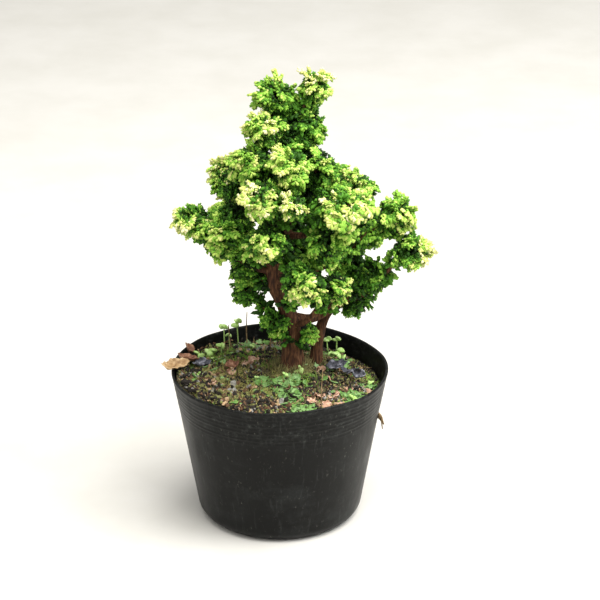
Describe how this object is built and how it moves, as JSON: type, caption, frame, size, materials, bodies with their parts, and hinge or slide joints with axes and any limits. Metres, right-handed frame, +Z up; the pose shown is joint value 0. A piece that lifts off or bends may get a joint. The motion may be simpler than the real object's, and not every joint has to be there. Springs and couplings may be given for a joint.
{
  "type": "potted hinoki cypress bonsai",
  "caption": "Young dwarf hinoki cypress bonsai with a leaning trunk, a second stem and knobby cream-tipped foliage, in a round black plastic nursery pot.",
  "frame": {"origin": "the middle of the pot's flat underside", "axes": "+Z up, -Y to the front of the plant, which is the side that the picture shows, +X to the plant's right as seen in the picture"},
  "size_m": [0.1097, 0.09, 0.196],
  "materials": {
    "pot_plastic": "satin",
    "potting_soil": "matte",
    "bark": "matte",
    "foliage_green": "matte",
    "foliage_gold": "matte"
  },
  "bodies": {
    "root": {"pot": "pot_plastic", "soil": "potting_soil", "trunk": "bark", "right_stem": "bark", "bough_left_shoulder": "bark", "bough_right_shoulder": "bark", "bough_back_left_high": "bark", "bough_back_right_high": "bark", "bough_front_left": "bark", "bough_front_centre": "bark", "bough_front_right": "bark", "bough_left_tip": "bark", "bough_left_mid": "bark", "bough_left_front": "bark", "bough_back_left": "bark", "bough_back_mid": "bark", "bough_back_right": "bark", "bough_right_upper_tip": "bark", "bough_centre_right": "bark", "bough_low_front": "bark", "bough_back_low": "bark", "bough_right_front": "bark", "bough_right_under": "bark", "bough_right_tip": "bark", "foliage_top_right": "foliage_gold", "foliage_top_left": "foliage_green", "foliage_upper_left": "foliage_gold", "foliage_upper_right": "foliage_green", "foliage_back_upper": "foliage_green", "foliage_back_top": "foliage_green", "foliage_mid_left": "foliage_green", "foliage_mid_front": "foliage_green", "foliage_mid_right": "foliage_green", "foliage_left_under": "foliage_green", "foliage_back_left_low": "foliage_green", "foliage_low_left": "foliage_green", "foliage_low_centre": "foliage_green", "foliage_sprig": "foliage_green", "foliage_left_shoulder": "foliage_green", "foliage_right_shoulder": "foliage_green", "foliage_back_left_high": "foliage_green", "foliage_back_right_high": "foliage_green", "foliage_front_left": "foliage_gold", "foliage_front_centre": "foliage_gold", "foliage_front_right": "foliage_gold", "foliage_left_tip": "foliage_gold", "foliage_left_mid": "foliage_green", "foliage_left_front": "foliage_gold", "foliage_back_left": "foliage_green", "foliage_back_mid": "foliage_green", "foliage_back_right": "foliage_green", "foliage_right_upper_tip": "foliage_green", "foliage_centre_right": "foliage_green", "foliage_low_front": "foliage_gold", "foliage_back_low": "foliage_green", "foliage_right_front": "foliage_gold", "foliage_right_under": "foliage_green", "foliage_right_low": "foliage_green", "foliage_back_right_low": "foliage_green", "foliage_right_tip": "foliage_gold"}
  },
  "joints": []
}
